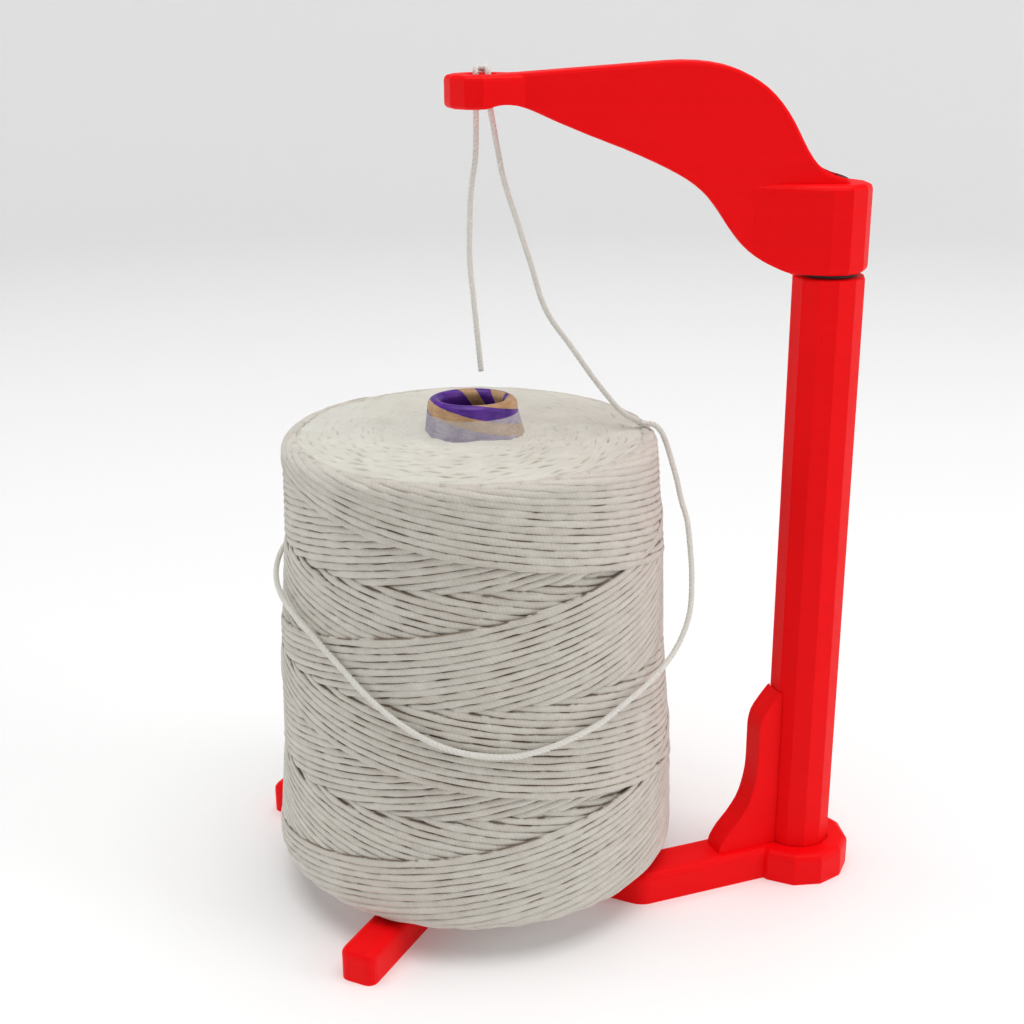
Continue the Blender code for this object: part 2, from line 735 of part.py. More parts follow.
# Up through the eye, over the top of the tip, and down again as the loose tail
tail_route = ((0.0072, 0.0022, 0.2798), (0.0072, 0.0023, 0.2850), (0.0072, 0.0023, 0.2895),
              (0.0071, 0.0028, 0.2909), (0.0069, 0.0040, 0.2917), (0.0064, 0.0057, 0.2915),
              (0.0051, 0.0069, 0.2913), (0.0038, 0.0057, 0.2915), (0.0033, 0.0040, 0.2917),
              (0.0032, 0.0028, 0.2909), (0.0031, 0.0023, 0.2895), (0.0031, 0.0022, 0.2780),
              (0.0027, 0.0021, 0.2636), (0.0010, 0.0018, 0.2510), (0.0003, 0.0015, 0.2306),
              (0.0016, 0.0012, 0.2145), (0.0037, 0.0008, 0.1911))


def build_string(name, route, look):
    """A stretch of loose yarn along its route."""
    fine = smooth_run(route, fine_steps)
    points = spread(fine, string_step, string_turn)
    print(name, "length", round(run_length(fine) * 1000), "mm,", len(points), "points")
    return tube(name, points, string_diameter, 2, look)


def main():
    clear_scene()
    red = material("red_print", red_print, 0.42, 0.0)
    cotton = material("raw_cotton", raw_cotton, 0.9, 0.0)
    build_base(red)
    build_column(red)
    build_peg(red)
    pivot = bpy.data.objects.new("head_pivot", None)
    pivot.location = (column_reach, 0.0, 0.0)
    pivot.rotation_euler.z = math.pi
    parts.objects.link(pivot)
    build_head(pivot, red)
    brass = material("brass_metal", brass_metal, 0.3, 1.0)
    build_insert("pivot_insert", column_top + journal_height, pivot_shank_radius + running_gap, brass)
    build_insert("foot_insert", column_foot + insert_length, foot_screw_radius + running_gap, brass)
    build_ring("slip_washer", column_top + seat_gap, slip_thickness, journal_radius + seat_gap, slip_radius,
               material("black_nylon", black_nylon, 0.5, 0.0))
    black = material("black_steel", black_steel, 0.35, 1.0)
    build_ring("pivot_washer", pocket_floor + seat_gap, pivot_washer_thickness, pivot_shank_radius + seat_gap,
               pivot_washer_radius, black)
    build_pivot_screw(black)
    build_foot_screw(material("zinc_steel", zinc_steel, 0.3, 1.0))
    build_paper_cone(material("kraft_paper", kraft_paper, 0.8, 0.0))
    build_package(cotton)
    build_turns(cotton)
    build_string("free_strand", free_route, cotton)
    build_string("laid_strand", laid_route, cotton)
    build_string("tail_strand", tail_route, cotton)


main()
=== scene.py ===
# %% [markdown]
# # A yarn cone holder
# A red printed stand carries a cone of cotton twine. A cross of flat feet lies under the cone, and its
# fourth arm turns into a bar that holds a twelve-sided column. A curved head swivels on the column and
# guides the twine through an eye above the cone. This lesson dresses the solid model: it keeps the hard
# pieces as they are, gives them finishes, and winds the cone with real turns of twine.

import math

import bmesh
import bpy
import numpy as np
from mathutils import Matrix, Vector


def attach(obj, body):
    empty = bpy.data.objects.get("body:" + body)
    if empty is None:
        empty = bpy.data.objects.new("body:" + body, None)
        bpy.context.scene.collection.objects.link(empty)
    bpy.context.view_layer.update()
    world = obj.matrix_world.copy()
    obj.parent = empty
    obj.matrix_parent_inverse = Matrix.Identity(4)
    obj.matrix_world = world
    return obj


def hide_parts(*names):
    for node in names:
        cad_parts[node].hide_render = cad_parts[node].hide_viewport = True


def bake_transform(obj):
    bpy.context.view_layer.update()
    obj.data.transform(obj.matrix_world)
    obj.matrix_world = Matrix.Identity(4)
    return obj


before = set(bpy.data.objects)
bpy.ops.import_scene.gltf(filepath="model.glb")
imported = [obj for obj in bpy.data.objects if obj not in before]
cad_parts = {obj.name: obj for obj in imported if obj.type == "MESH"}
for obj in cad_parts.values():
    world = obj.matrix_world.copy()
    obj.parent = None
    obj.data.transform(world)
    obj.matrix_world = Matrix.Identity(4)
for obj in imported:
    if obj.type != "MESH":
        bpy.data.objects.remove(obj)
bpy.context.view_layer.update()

# %% [markdown]
# ## Camera, floor and light
# The photograph was solved for one camera from the package and the column together: a long lens that
# looks down by about nineteen degrees. A camera is placed by a matrix whose columns are its right, up and
# backward directions, so that the picture's slight roll can be set exactly.

# %% Camera
camera_place = Vector((0.0346, -0.5160, 0.3194))
camera_yaw = math.radians(2.2736)
camera_pitch = math.radians(19.2)
camera_roll = math.radians(0.4)
focal_pixels = 1534.0
picture_pixels = 1024.0
sensor_width_mm = 36.0


def placed(name, data):
    """A new object in the scene."""
    made = bpy.data.objects.new(name, data)
    bpy.context.scene.collection.objects.link(made)
    return made


camera_data = bpy.data.cameras.new("studio_camera")
camera_data.sensor_width = sensor_width_mm
camera_data.lens = sensor_width_mm * (focal_pixels / picture_pixels)
camera_data.clip_start = 0.01
camera = placed("studio_camera", camera_data)
ahead = Vector((-math.sin(camera_yaw) * math.cos(camera_pitch),
                math.cos(camera_yaw) * math.cos(camera_pitch), -math.sin(camera_pitch)))
level_right = Vector((math.cos(camera_yaw), math.sin(camera_yaw), 0.0))
level_up = level_right.cross(ahead)
right = level_right * math.cos(camera_roll) - level_up * math.sin(camera_roll)
up = level_up * math.cos(camera_roll) + level_right * math.sin(camera_roll)
turn = Matrix((right, up, -ahead)).transposed().to_4x4()
camera.matrix_world = Matrix.Translation(camera_place) @ turn
bpy.context.scene.camera = camera
print("lens", round(camera_data.lens, 2), "mm, camera at", [round(value, 3) for value in camera_place])

# %% [markdown]
# A studio sweep is one sheet of paper that lies on the floor and curves up behind the object. A plane with
# a bent strip would do from one side. A disc whose rim is extruded up a quarter circle closes the horizon
# from every side. Three square softboxes and a dim white sky give soft light with pale shadows.

# %% Floor and light
floor_radius = 1.6
curve_radius = 0.9
curve_steps = 12
paper_white = (0.88, 0.88, 0.88, 1.0)
paper_glow = 0.12
sky_strength = 0.13
pure_white = (1.0, 1.0, 1.0, 1.0)
# Each softbox: name, place, the point it looks at, side length in metres, watts
softboxes = (("top_softbox", (0.1, -0.1, 2.2), (0.05, 0.0, 0.0), 2.2, 46.0),
             ("right_softbox", (1.5, -0.35, 0.75), (0.0, 0.0, 0.12), 0.8, 6.0),
             ("left_softbox", (-1.5, -0.2, 0.6), (0.0, 0.0, 0.1), 0.9, 3.2))


def raise_rim(mesh):
    """Extrude the rim of the flat disc up a quarter circle."""
    sweep = bmesh.new()
    sweep.from_mesh(mesh)
    rim = [edge for edge in sweep.edges if edge.is_boundary]
    slope_step = math.radians(90.0 / curve_steps)
    for step in range(1, curve_steps + 1):
        slope = math.radians(90.0 * step / curve_steps)
        before = floor_radius + curve_radius * math.sin(slope - slope_step)
        wide = (floor_radius + curve_radius * math.sin(slope)) / before
        rise = curve_radius * (math.cos(slope - slope_step) - math.cos(slope))
        rim = bmesh.ops.extrude_edge_only(sweep, edges=rim)["geom"]
        for corner in [part for part in rim if isinstance(part, bmesh.types.BMVert)]:
            corner.co = (corner.co.x * wide, corner.co.y * wide, corner.co.z + rise)
        rim = [part for part in rim if isinstance(part, bmesh.types.BMEdge)]
    for face in sweep.faces:
        face.smooth = len(face.verts) == 4
    sweep.to_mesh(mesh)
    sweep.free()


def soft_light(name, place, aim, size, power):
    """A square softbox that points at a place on the object."""
    data = bpy.data.lights.new(name, "AREA")
    data.shape = "SQUARE"
    data.size = size
    data.energy = power
    lamp = placed(name, data)
    lamp.location = place
    lamp.rotation_euler = (Vector(aim) - Vector(place)).to_track_quat("-Z", "Y").to_euler()


bpy.context.scene.view_settings.view_transform = "Standard"
bpy.ops.object.select_all(action="DESELECT")
bpy.ops.mesh.primitive_circle_add(vertices=96, radius=floor_radius, fill_type="NGON")
floor = bpy.context.object
floor.name = "studio_floor"
raise_rim(floor.data)
stage_paper = bpy.data.materials.new("studio_paper")
stage_paper.use_nodes = True
stage_shader = stage_paper.node_tree.nodes["Principled BSDF"]
stage_shader.inputs["Base Color"].default_value = paper_white
stage_shader.inputs["Roughness"].default_value = 0.9
stage_shader.inputs["Emission Color"].default_value = pure_white
stage_shader.inputs["Emission Strength"].default_value = paper_glow
floor.data.materials.append(stage_paper)
for softbox in softboxes:
    soft_light(*softbox)
world = bpy.data.worlds.new("studio_sky")
world.use_nodes = True
world.node_tree.nodes["Background"].inputs["Color"].default_value = pure_white
world.node_tree.nodes["Background"].inputs["Strength"].default_value = sky_strength
bpy.context.scene.world = world

# %% [markdown]
# ## Finishes
# Every finish is a small node tree. Writing shader maths as Python expressions keeps the trees short: a
# class wraps one socket, and its operators add Math nodes. Any other node comes from one method.

# %% Shader helpers


class Wire:
    """One output socket whose operators add Math nodes."""

    def __init__(self, tree, socket):
        self.tree = tree
        self.socket = socket

    def node(self, kind, settings=(), **values):
        """Add a node: first its settings, then the values or links of its sockets."""
        made = self.tree.nodes.new(kind)
        for name, value in dict(settings).items():
            if name == "stops":
                ramp = made.color_ramp
                while len(ramp.elements) > 1:
                    ramp.elements.remove(ramp.elements[-1])
                for index, (place, colour) in enumerate(value):
                    stop = ramp.elements[0] if index == 0 else ramp.elements.new(place)
                    stop.position = place
                    stop.color = (*colour, 1.0)
            elif name == "hard_stops":
                made.color_ramp.interpolation = "CONSTANT"
            else:
                setattr(made, name, value)
        for name, value in values.items():
            numbered = name[0] == "i" and name[1:].isdigit()
            key = int(name[1:]) if numbered else name.replace("_", " ")
            if isinstance(value, Wire):
                self.tree.links.new(value.socket, made.inputs[key])
            else:
                made.inputs[key].default_value = value
        return made

    def out(self, made, name=0):
        return Wire(self.tree, made.outputs[name])

    def maths(self, operation, *values):
        made = self.node("ShaderNodeMath", {"operation": operation})
        for index, value in enumerate(values):
            if isinstance(value, Wire):
                self.tree.links.new(value.socket, made.inputs[index])
            else:
                made.inputs[index].default_value = value
        return self.out(made)

    def __add__(self, other):
        return self.maths("ADD", self, other)

    def __sub__(self, other):
        return self.maths("SUBTRACT", self, other)

    def __mul__(self, other):
        return self.maths("MULTIPLY", self, other)

    def __truediv__(self, other):
        return self.maths("DIVIDE", self, other)

    def __rsub__(self, other):
        return self.maths("SUBTRACT", other, self)

    def sine(self):
        return self.maths("SINE", self)

    def fraction(self):
        return self.maths("FRACT", self)

    def clamp(self):
        return self.maths("MINIMUM", self.maths("MAXIMUM", self, 0.0), 1.0)

    def power(self, exponent):
        return self.maths("POWER", self, exponent)

    def step(self, low, high):
        """Smooth rise from 0 to 1 as the value goes from low to high."""
        made = self.node("ShaderNodeMapRange", {"interpolation_type": "SMOOTHSTEP"}, Value=self)
        made.inputs["From Min"].default_value = low
        made.inputs["From Max"].default_value = high
        return self.out(made, "Result")

    def blend(self, first, second):
        """A colour between two, by this value."""
        made = self.node("ShaderNodeMix", {"data_type": "RGBA"}, i0=self)
        for index, value in ((6, first), (7, second)):
            if isinstance(value, Wire):
                self.tree.links.new(value.socket, made.inputs[index])
            else:
                made.inputs[index].default_value = (*value, 1.0)
        return self.out(made, 2)

    def noise(self, scale, detail=2.0, roughness=0.5):
        made = self.node("ShaderNodeTexNoise", (), Vector=self, Scale=scale, Detail=detail,
                         Roughness=roughness)
        return self.out(made)

    def stretched(self, scale):
        return self.out(self.node("ShaderNodeMapping", (), Vector=self, Scale=scale))

    def exponential(self):
        return self.maths("EXPONENT", self)

    def parts(self):
        made = self.node("ShaderNodeSeparateXYZ", (), Vector=self)
        return [self.out(made, index) for index in range(3)]


def new_finish(name, roughness, metallic=0.0, gloss=0.5):
    """A material with its shader, and the wire of its Object coordinates."""
    made = bpy.data.materials.new(name)
    made.use_nodes = True
    tree = made.node_tree
    shader = tree.nodes["Principled BSDF"]
    shader.inputs["Roughness"].default_value = roughness
    shader.inputs["Metallic"].default_value = metallic
    shader.inputs["Specular IOR Level"].default_value = gloss
    place = Wire(tree, tree.nodes.new("ShaderNodeTexCoord").outputs["Object"])
    return made, shader, place


def feed(shader, name, wire):
    """Link a wire to one of the shader's inputs."""
    wire.tree.links.new(wire.socket, shader.inputs[name])


def emboss(shader, height, distance, strength=1.0):
    """Tilt the shader's normal by a height; a height of 1 is this distance in metres."""
    made = height.node("ShaderNodeBump", (), Height=height, Distance=distance, Strength=strength)
    feed(shader, "Normal", height.out(made))


def attribute(place, name):
    """A number stored on the mesh."""
    return place.out(place.node("ShaderNodeAttribute", {"attribute_name": name}), "Fac")


def uv_wire(place, name):
    return place.out(place.node("ShaderNodeUVMap", {"uv_map": name}))


print("shader helpers ready")

# %% [markdown]
# ## Twine
# The twine is soft cotton of three plies. Close up, its plies wind round it as slanting ridges, and short
# fibres make its surface mottled. The ridges could be modelled, but over a hundred turns they would cost
# millions of faces, so the finish draws them. Each tube carries a UV map, U in millimetres along it and V
# once round it, so the ridges follow every bend. The felted end faces have no tubes and use noise instead.

# %% Cotton twine finish
# The shade colours serve both the cotton's darker tones and the painted shade in its gaps and slots
cotton_light = (0.70, 0.672, 0.605)
cotton_shade = (0.20, 0.145, 0.10)
face_light, face_shade = (0.71, 0.705, 0.63), (0.34, 0.30, 0.22)
loose_light, loose_shade = (0.82, 0.81, 0.76), (0.56, 0.53, 0.46)
# Painted light: the pale colour that lightens the creases between the dark dashes
crease_light_colour = (0.8, 0.77, 0.7)
ply_count = 3.0
ply_pitch_mm = 4.3
# How much each pattern darkens the cotton, and the tone at which the light colour starts to give way
fibre_share, mottle_share, broad_share, slow_share, tint_share = 0.26, 0.2, 0.16, 0.3, 0.15
light_until = 0.43
# Painted shade on the package's front and in its gaps, fitted to the photograph's side: gaps darkest there,
# fading toward the foot; fainter behind is a guess
front_shade_share = 0.07
twine_bump = 0.00035


def painted_front_shade(place):
    """Painted shade mask: rises toward the front of the package, and more so toward its top."""
    away, upward = place.parts()[1:]
    return (away * -1.0).step(0.03, 0.07) * (upward.step(0.03, 0.09) * 0.6 + 0.4)


def twine_finish(name, light, shade, ridge, gap_shade_strength, even_crease_shade=0.02, tubes=True):
    """Cotton with painted shade along its creases, darkest in dashes; the ridges need the UV map that only
    tubes have.
    """
    made, shader, place = new_finish(name, 0.92, gloss=0.12)
    shader.inputs["Sheen Weight"].default_value = 0.25
    shader.inputs["Sheen Roughness"].default_value = 0.6
    mottle = place.noise(420.0, 3.0, 0.65)
    broad = place.noise(38.0, 2.0, 0.5)
    # Painted shadow: dashes where the creases are darkest
    dashes = place.stretched((120.0, 120.0, 420.0)).noise(1.0, 2.0, 0.6).step(0.40, 0.56)
    crease = attribute(place, "crease")
    if tubes:
        uv = uv_wire(place, "twine")
        along, round_it, _ = uv.parts()
        lay = (along / ply_pitch_mm + round_it + mottle * 0.25) * ply_count
        ridges = (lay * math.tau).sine() * 0.5 + 0.5
        fibre = uv.stretched((1.3, 12.0, 1.0)).noise(1.0, 4.0, 0.7)
        slow = uv.stretched((0.11, 0.4, 1.0)).noise(1.0, 2.0, 0.6)
        # Painted shade: creases darkened in dashes, and the package darkened toward its front
        front = painted_front_shade(place)
        gap_shade = crease * (dashes * gap_shade_strength * (front * 0.55 + 0.5) + even_crease_shade) + front * front_shade_share
    else:
        slow = broad
        ridges = place.stretched((350.0, 350.0, 900.0)).noise(1.0, 2.0, 0.5)
        fibre = place.noise(1300.0, 4.0, 0.7)
        # Painted shade in the slots of the end faces
        gap_shade = crease * (dashes * gap_shade_strength + even_crease_shade)
    # On tubes the darkening between ply ridges is painted shade in the grooves; on end faces the ridges are a
    # noise tone
    darker = (gap_shade + (1.0 - ridges) * ridge + (1.0 - fibre) * fibre_share + (1.0 - mottle) * mottle_share
              + (1.0 - broad) * broad_share + (1.0 - slow) * slow_share
              + attribute(place, "tint") * tint_share - light_until).clamp()
    colour = darker.blend(light, shade)
    if tubes:
        # Painted light in the creases where there is no dash
        painted_crease_light = (crease * (1.0 - dashes) * 0.4).clamp()
        colour = painted_crease_light.blend(colour, crease_light_colour)
    feed(shader, "Base Color", colour)
    emboss(shader, ridges * (0.04 + ridge) + fibre * 0.8 + mottle * 0.7, twine_bump, 0.8)
    return made


twine = twine_finish("cotton_twine", cotton_light, cotton_shade, 0.06, 1.8, 0.06)
face_twine = twine_finish("cotton_end_face", face_light, face_shade, 0.02, 0.5, 0.9, tubes=False)
loose_finish = twine_finish("loose_cotton", loose_light, loose_shade, 0.14, 0.2)
print("twine finish has", len(twine.node_tree.nodes), "nodes")

# %% [markdown]
# ## A mesh of many tubes
# The skin of the package is more than a hundred turns of twine. Curves with a bevel would do, but a mesh
# built from rings is lighter and can carry the UV map and the two attributes that the finish reads: tint,
# a tone for each stretch, and crease, the sides that lie in a gap, where the finish paints shade.

# %% Tubes from lines
pattern_shift_mm = 53.1
crease_reach = 0.85
crease_sharpness = 1.5


def unit(rows):
    return rows / np.maximum(np.linalg.norm(rows, axis=1, keepdims=True), 1e-12)


def store(mesh, **columns):
    """Keep numbers on the points of a mesh, for its finish to read."""
    for label, values in columns.items():
        data = mesh.attributes.new(label, "FLOAT", "POINT")
        data.data.foreach_set("value", values.ravel().astype(np.float32))


def lay_tubes(name, lines, sides, finish=None):
    """One mesh of tubes; a line is (points, outward directions, half width, half height, tint, crease)."""
    corners, quads, caps, uvs, tints, creases = [], [], [], [], [], []
    start = 0
    turn = np.linspace(0.0, math.tau, sides, endpoint=False)
    cosine, sine = np.cos(turn), np.sin(turn)
    hop = np.arange(sides)
    for points, outward, wide, high, tint, crease in lines:
        count = len(points)
        ahead = unit(np.gradient(points, axis=0))
        side = unit(np.cross(ahead, outward))
        lift = np.cross(side, ahead)
        wide = np.broadcast_to(wide, count)[:, None, None]
        high = np.broadcast_to(high, count)[:, None, None]
        ring = (points[:, None] + wide * cosine[None, :, None] * side[:, None]
                + high * sine[None, :, None] * lift[:, None])
        corners.append(ring.reshape(-1, 3))
        spans = np.linalg.norm(np.diff(points, axis=0), axis=1)
        length = np.concatenate([[0.0], np.cumsum(spans)]) * 1000.0
        row = start + np.arange(count - 1)[:, None] * sides
        nxt = (hop + 1) % sides
        quad = np.stack([row + hop, row + sides + hop, row + sides + nxt, row + nxt], axis=-1)
        quads.append(quad.reshape(-1, 4))
        shifted = length + pattern_shift_mm * len(uvs)
        u0 = np.broadcast_to(shifted[:-1, None], (count - 1, sides))
        u1 = np.broadcast_to(shifted[1:, None], (count - 1, sides))
        v0 = np.broadcast_to(hop / sides, (count - 1, sides))
        v1 = v0 + 1.0 / sides
        uv = np.stack([np.stack([u0, v0], -1), np.stack([u1, v0], -1), np.stack([u1, v1], -1),
                       np.stack([u0, v1], -1)], axis=2)
        uvs.append(uv.reshape(-1, 2))
        caps.append((start + hop, start + (count - 1) * sides + hop[::-1]))
        tints.append(np.repeat(np.broadcast_to(tint, count), sides))
        # Painted shade mask: the sides of a tube that lie in a gap
        sunk = np.clip(1.0 - sine / crease_reach, 0.0, 1.0)[None, :] ** crease_sharpness
        creases.append((np.broadcast_to(crease, count)[:, None] * sunk).ravel())
        start += count * sides
    corners = np.concatenate(corners)
    quads = np.concatenate(quads)
    cap_rows = np.array([cap for pair in caps for cap in pair])
    loops = np.concatenate([quads.ravel(), cap_rows.ravel()])
    sizes = np.concatenate([np.full(len(quads), 4), np.full(len(cap_rows), sides)])
    uv_rows = np.concatenate(uvs + [np.zeros((cap_rows.size, 2))])
    mesh = bpy.data.meshes.new(name)
    mesh.vertices.add(len(corners))
    mesh.vertices.foreach_set("co", corners.ravel().astype(np.float32))
    mesh.loops.add(len(loops))
    mesh.loops.foreach_set("vertex_index", loops.astype(np.int32))
    mesh.polygons.add(len(sizes))
    starts = np.concatenate([[0], np.cumsum(sizes)[:-1]])
    mesh.polygons.foreach_set("loop_start", starts.astype(np.int32))
    mesh.polygons.foreach_set("use_smooth", np.ones(len(sizes), dtype=bool))
    mesh.update(calc_edges=True)
    layer = mesh.uv_layers.new(name="twine")
    layer.data.foreach_set("uv", uv_rows.ravel().astype(np.float32))
    store(mesh, tint=np.concatenate(tints), crease=np.concatenate(creases))
    made = placed(name, mesh)
    made.data.materials.append(finish or twine)
    triangles = len(quads) * 2 + len(cap_rows) * (sides - 2)
    print(name, "tubes", len(lines), "triangles", triangles)
    return made


print("tube builder ready")

# %% [markdown]
# ## The wound package
# A cone of twine is wound by a guide that runs up and down while the cone turns. Here one stroke takes a
# little over two turns and climbs 80 mm in each, and each new stroke lies 1/31 of that beside the last
# one of its kind. Rising and falling turns cross, and whichever was laid later lies on top. So every turn
# can be placed by a formula: its age gives its depth, and where a younger turn crosses it, it dives
# underneath. The winding's own outline comes first: a slightly tapered side with two rounded shoulders.

# %% Shape of the package
package_low = 0.0126
package_high = 0.1697
package_bottom_radius = 0.0747
package_top_radius = 0.0662
shoulder_low = 0.007
shoulder_high = 0.004
turn_rise = 0.080
per_turn = 31
per_stroke = 720.0 + 1.5 * 360.0 / per_turn
top_ring = 0.1719
ring_high = top_ring + turn_rise / per_turn
ring_low = ring_high - turn_rise / 360.0 * per_stroke
newest_rising = 0.1215
newest_falling = 2.0 * ring_high - newest_rising
twine_wide = 0.00146
twine_high = 0.00108
growth = 0.0021
layer_step = 0.0015
turnaround = 14.0
long_turnaround = turnaround + 360.0 / per_turn
samples = 144


def package_radius(height, inset):
    """Radius of the wound surface at each height, this far under it."""
    share = (height - package_low) / (package_high - package_low)
    radius = package_bottom_radius + (package_top_radius - package_bottom_radius) * share
    result = radius - inset
    for depth, size in ((package_low + shoulder_low - height, shoulder_low),
                        (height - package_high + shoulder_high, shoulder_high)):
        small = max(size - inset, 0.0)
        bent = radius - size + np.sqrt(np.maximum(0.0, small ** 2 - np.maximum(depth, 0.0) ** 2))
        result = np.where(depth > 0.0, bent, result)
    return result


def wave(values, seed, count=6):
    """A smooth repeatable wobble between about -1 and 1."""
    draw = np.random.default_rng(seed)
    total = np.zeros_like(values)
    for _ in range(count):
        bent = values * draw.uniform(0.6, 7.0) + draw.uniform(0.0, math.tau)
        total += np.sin(bent) * draw.uniform(0.4, 1.0)
    return total / count


def smoothed(values, reach):
    """A running mean along one line of twine."""
    kernel = np.hanning(2 * reach + 3)[1:-1]
    padded = np.pad(values, reach, mode="edge")
    return np.convolve(padded, kernel / kernel.sum(), mode="valid")


def on_package(angle, radius, height):
    """Points and outward directions; the angle is 0 at the front and grows toward the column."""
    flat = np.zeros_like(angle)
    out = np.stack([np.sin(angle), -np.cos(angle), flat], axis=-1)
    return out * radius[:, None] + np.stack([flat, flat, height], axis=-1), out


print("package from", package_low, "to", package_high, "m,", per_turn, "turns a period")

# %% [markdown]
# On a real cone all of this is one thread, which runs on from each rising stroke into a falling one. Only
# its last layer is laid here. It could be one long line. One tube for each stroke is simpler, because
# rising and falling turns dive at different places, and the joins lie where the guide turns back. Small
# seeded waves in height, depth and thickness keep the turns from looking machined.

# %% Rising and falling turns
# Wobble in metres: between neighbours, shared by all turns of a kind, and quick
drift_own, drift_shared, drift_quick = 0.00014, 0.00022, 0.00012
depth_wobble = 0.00012
# Around a turnaround the twine lies quiet within this many degrees and stays on top within these
quiet_reach, quiet_share = 30.0, 0.7
crest_reach = 20.0
shoulder_tilt = 1.15
top_tilt_share, low_tilt_share = 0.75, 0.3
lump_slow, lump_quick, lump_height_share = 0.08, 0.45, 0.4


def stroke(index, rising):
    """One stroke of the guide, a little over two turns, between the lower and the upper turnaround."""
    top_turn = (ring_high - newest_rising) / turn_rise * 360.0 + index * 360.0 / per_turn
    away = np.linspace(0.0, per_stroke, 2 * samples + 1)
    away = away[::-1] * -1.0 if rising else away
    degrees = top_turn + away
    near_top = ring_high - turn_rise / 360.0 * np.sqrt(away ** 2 + long_turnaround ** 2)
    from_low = np.abs(away) - per_stroke
    near_low = ring_low + turn_rise / 360.0 * np.sqrt(from_low ** 2 + turnaround ** 2)
    height = np.where(np.abs(away) < 360.0, near_top, near_low)
    angle = np.radians(degrees)
    side = 1 if rising else 2
    loose = (drift_own * wave(angle, 100 * side + index)
             + drift_shared * wave(angle + index * 0.06, 7 * side)
             + drift_quick * wave(angle * 6.0, 300 * side + index))
    height = height + loose * (1.0 - quiet_share * np.exp(-(away / quiet_reach) ** 2))
    age = (index + (0.5 if rising else 0.0)) / per_turn
    if rising:
        other = (height - newest_falling + turn_rise * degrees / 360.0) / turn_rise
    else:
        other = (newest_rising + turn_rise * degrees / 360.0 - height) / turn_rise
    other = other - np.floor(other)
    depth = np.where(other < age, growth * other + layer_step, growth * age)
    crest = np.exp(-(away / crest_reach) ** 2)
    depth = smoothed(depth, 2) + depth_wobble * wave(angle * 1.7, 900 * side + index)
    depth = depth * (1.0 - crest) + growth * age * crest
    radius = package_radius(height, twine_high) - np.maximum(depth, 0.0)
    points, outward = on_package(angle, radius, height)
    on_top = (height - package_high + shoulder_high) / (shoulder_high * top_tilt_share)
    low_reach = low_tilt_share * shoulder_low
    at_foot = (package_low + low_reach - height) / low_reach
    slope = (np.clip(on_top, 0.0, 1.0) - np.clip(at_foot, 0.0, 1.0)) * shoulder_tilt
    outward = outward * np.cos(slope)[:, None] + np.sin(slope)[:, None] * np.array([0.0, 0.0, 1.0])
    lumps = (lump_slow * wave(angle * 2.3, 500 * side + index)
             + lump_quick * wave(angle * 7.0, 700 * side + index))
    tint = 0.5 + 0.5 * wave(angle * 0.9, 1300 * side + index) + 0.25 * math.sin(index * 2.4 + side)
    wide, high = twine_wide * (1.0 + lumps), twine_high * (1.0 + lump_height_share * lumps)
    return points, outward, wide, high, tint, 1.0 - crest


tube_sides = 8
rising_turns = lay_tubes("wound_rising_turns",
                         [stroke(index, True) for index in range(per_turn)], tube_sides)
falling_turns = lay_tubes("wound_falling_turns",
                          [stroke(index, False) for index in range(per_turn)], tube_sides)

# %% [markdown]
# The end faces show where the guide turned back. Each layer leaves a ring of flat crests that lie
# staggered like scales, felted together by handling, with a short dark slot where one crest tucks under
# the next. Hundreds of tubes would look like rope here, so each end face is one fine polar grid that is
# raised and grooved by a formula on the same spiral that the turns follow. The finish paints shade into
# the slots.

# %% Felted end faces
crest_step = 360.0 / 31.37
ring_growth = 1.7
cells = 4096
slot_chance, faint_slot = 0.75, 0.05
# Strongest toward this angle in the photograph, in radians; that they fade behind is a guess
slot_bearing = 0.45
slot_depth, slot_sharpness = 0.0009, 0.08
crest_high, crest_away, crest_wide, crest_long = 0.0005, 0.22, 0.14, 0.34
furrow, furrows_per_ring = 0.00007, 1.7
swell_broad, swell_fine = 0.0003, 0.00022
rim_reach, rim_drop = 0.003, 0.0013
lip_reach, lip_high = 0.0016, 0.0008
back_depth = 0.0025


def field(x, y, seed, low, high, count=9):
    """A smooth wobble over the plane, the same on both sides of every seam."""
    draw = np.random.default_rng(seed)
    total = np.zeros_like(x)
    for _ in range(count):
        bearing, pitch = draw.uniform(0.0, math.tau), draw.uniform(low, high)
        total += np.sin(pitch * (x * math.cos(bearing) + y * math.sin(bearing)) + draw.uniform(0.0, math.tau))
    return total / count ** 0.5


def end_face_quads(rows, columns, upward):
    """Quads of a ring that is closed both round the axis and round its own section."""
    row, column = np.meshgrid(np.arange(rows), np.arange(columns), indexing="ij")
    right, below = (column + 1) % columns, (row + 1) % rows
    quads = np.stack([row * columns + column, row * columns + right, below * columns + right,
                      below * columns + column], axis=-1).reshape(-1, 4)
    return quads[:, ::-1] if upward else quads


